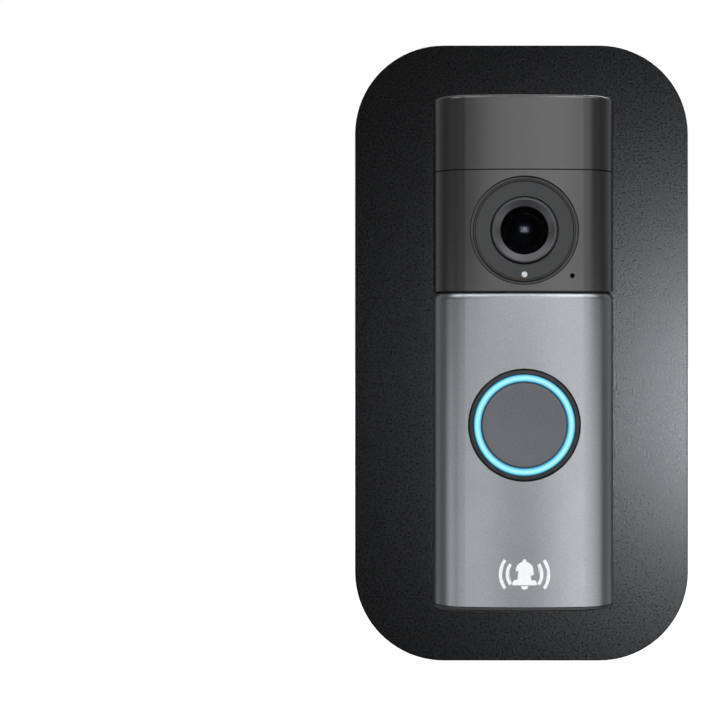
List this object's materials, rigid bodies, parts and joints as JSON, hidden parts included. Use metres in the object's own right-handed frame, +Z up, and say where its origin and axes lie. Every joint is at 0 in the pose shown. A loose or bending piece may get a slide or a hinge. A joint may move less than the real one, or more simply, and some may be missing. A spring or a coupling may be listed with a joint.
{
  "type": "video doorbell",
  "caption": "Slim video doorbell with a lit round button, camera and lift-off metal faceplate, hooked on a black wall plate.",
  "frame": {"origin": "middle of the wall plate's back face, half way between the two wall screws", "axes": "+Y into the wall, along the wall screws; -Y towards the visitor; +Z up; +X to the right seen from the front"},
  "size_m": [0.092, 0.0592, 0.17],
  "materials": {
    "powder_coat": "black powder coat, fine texture",
    "bracket_nylon": "fine mould grain",
    "zinc_steel": "bright zinc",
    "housing_black": "satin moulded",
    "gloss_black": "high gloss",
    "satin_nickel": "satin metallic",
    "black_steel": "blackened",
    "bezel_black": "semi gloss",
    "smoked_window": "satin smoked",
    "milky_pipe": "milky",
    "barrel_grey": "dark anodised",
    "lens_glass": "coated",
    "light_guide": "lit light blue",
    "button_grey": "satin",
    "switch_white": "plain",
    "seal_rubber": "matte",
    "board_green": "solder mask",
    "chip_black": "moulded packages",
    "tinned_steel": "tinned",
    "terminal_brass": "plain",
    "terminal_steel": "nickel plated",
    "flex_amber": "polyimide",
    "lamp_clear": "clear",
    "speaker_black": "moulded",
    "case_black": "moulded",
    "cell_wrap": "laminated foil",
    "latch_grey": "moulded"
  },
  "bodies": {
    "root": {"wall_plate": "powder_coat", "mounting_bracket": "bracket_nylon", "wall_screws": "zinc_steel", "rear_housing": "housing_black", "front_chassis": "housing_black", "top_cover": "gloss_black", "camera_cover": "gloss_black", "housing_screws": "black_steel", "camera_bezel": "bezel_black", "button_bezel": "bezel_black", "infrared_window": "smoked_window", "light_sensor_lens": "milky_pipe", "lens_barrel": "barrel_grey", "aperture_stop": "barrel_grey", "front_lens": "lens_glass", "second_lens": "lens_glass", "light_ring": "light_guide", "contact_block": "switch_white", "housing_seal": "seal_rubber", "ring_seals": "seal_rubber", "microphone_boot": "seal_rubber", "speaker_gasket": "seal_rubber", "camera_board": "board_green", "infrared_board": "board_green", "button_board": "board_green", "microphone_board": "board_green", "main_board": "board_green", "radar_board": "board_green", "image_sensor": "chip_black", "lens_holder": "chip_black", "button_switch": "chip_black", "board_parts": "chip_black", "radar_parts": "chip_black", "setup_switch": "chip_black", "microphone": "chip_black", "shield_cans": "tinned_steel", "wifi_antenna": "tinned_steel", "speaker_magnet": "tinned_steel", "terminal_posts": "terminal_brass", "terminal_plates": "terminal_steel", "terminal_screws": "terminal_steel", "camera_flex": "flex_amber", "button_flex": "flex_amber", "infrared_lamps": "lamp_clear", "ring_lamps": "lamp_clear", "speaker_frame": "speaker_black", "speaker_cone": "speaker_black", "battery_sleeve": "case_black"},
    "button": {"button_cap": "button_grey", "switch_plunger": "switch_white"},
    "faceplate": {"faceplate": "satin_nickel"},
    "battery": {"battery_case": "case_black", "battery_cell": "cell_wrap", "battery_board": "board_green", "battery_end_cap": "case_black"},
    "battery_latch": {"battery_latch": "latch_grey"},
    "setup_button": {"setup_button": "latch_grey"},
    "security_screw": {"security_screw": "black_steel"},
    "contact_pins": {"contact_pins": "terminal_brass"}
  },
  "joints": [
    {"name": "button_press", "type": "slide", "parent": "root", "child": "button", "axis": [0, 1, 0], "range_m": [0, 0.0008], "stiffness_N_per_m": 2000, "springref_m": -0.0004},
    {"name": "faceplate_lift", "type": "slide", "parent": "root", "child": "faceplate", "axis": [0, -1, 0], "range_m": [0, 0.03]},
    {"name": "battery_slide", "type": "slide", "parent": "root", "child": "battery", "axis": [0, 0, -1], "range_m": [0, 0.075]},
    {"name": "latch_push", "type": "slide", "parent": "battery", "child": "battery_latch", "axis": [0, 1, 0], "range_m": [0, 0.0011], "stiffness_N_per_m": 1000, "springref_m": -0.0005},
    {"name": "setup_press", "type": "slide", "parent": "root", "child": "setup_button", "axis": [0, -1, 0], "range_m": [0, 0.0005], "stiffness_N_per_m": 2000, "springref_m": -0.0003},
    {"name": "lock_turn", "type": "hinge", "parent": "root", "child": "security_screw", "pos_m": [0, -0.0048, -0.063], "axis": [0, 0, 1], "continuous": true},
    {"name": "pins_press", "type": "slide", "parent": "root", "child": "contact_pins", "axis": [0, 0, 1], "range_m": [0, 0.0006], "stiffness_N_per_m": 500, "springref_m": -0.0006}
  ]
}
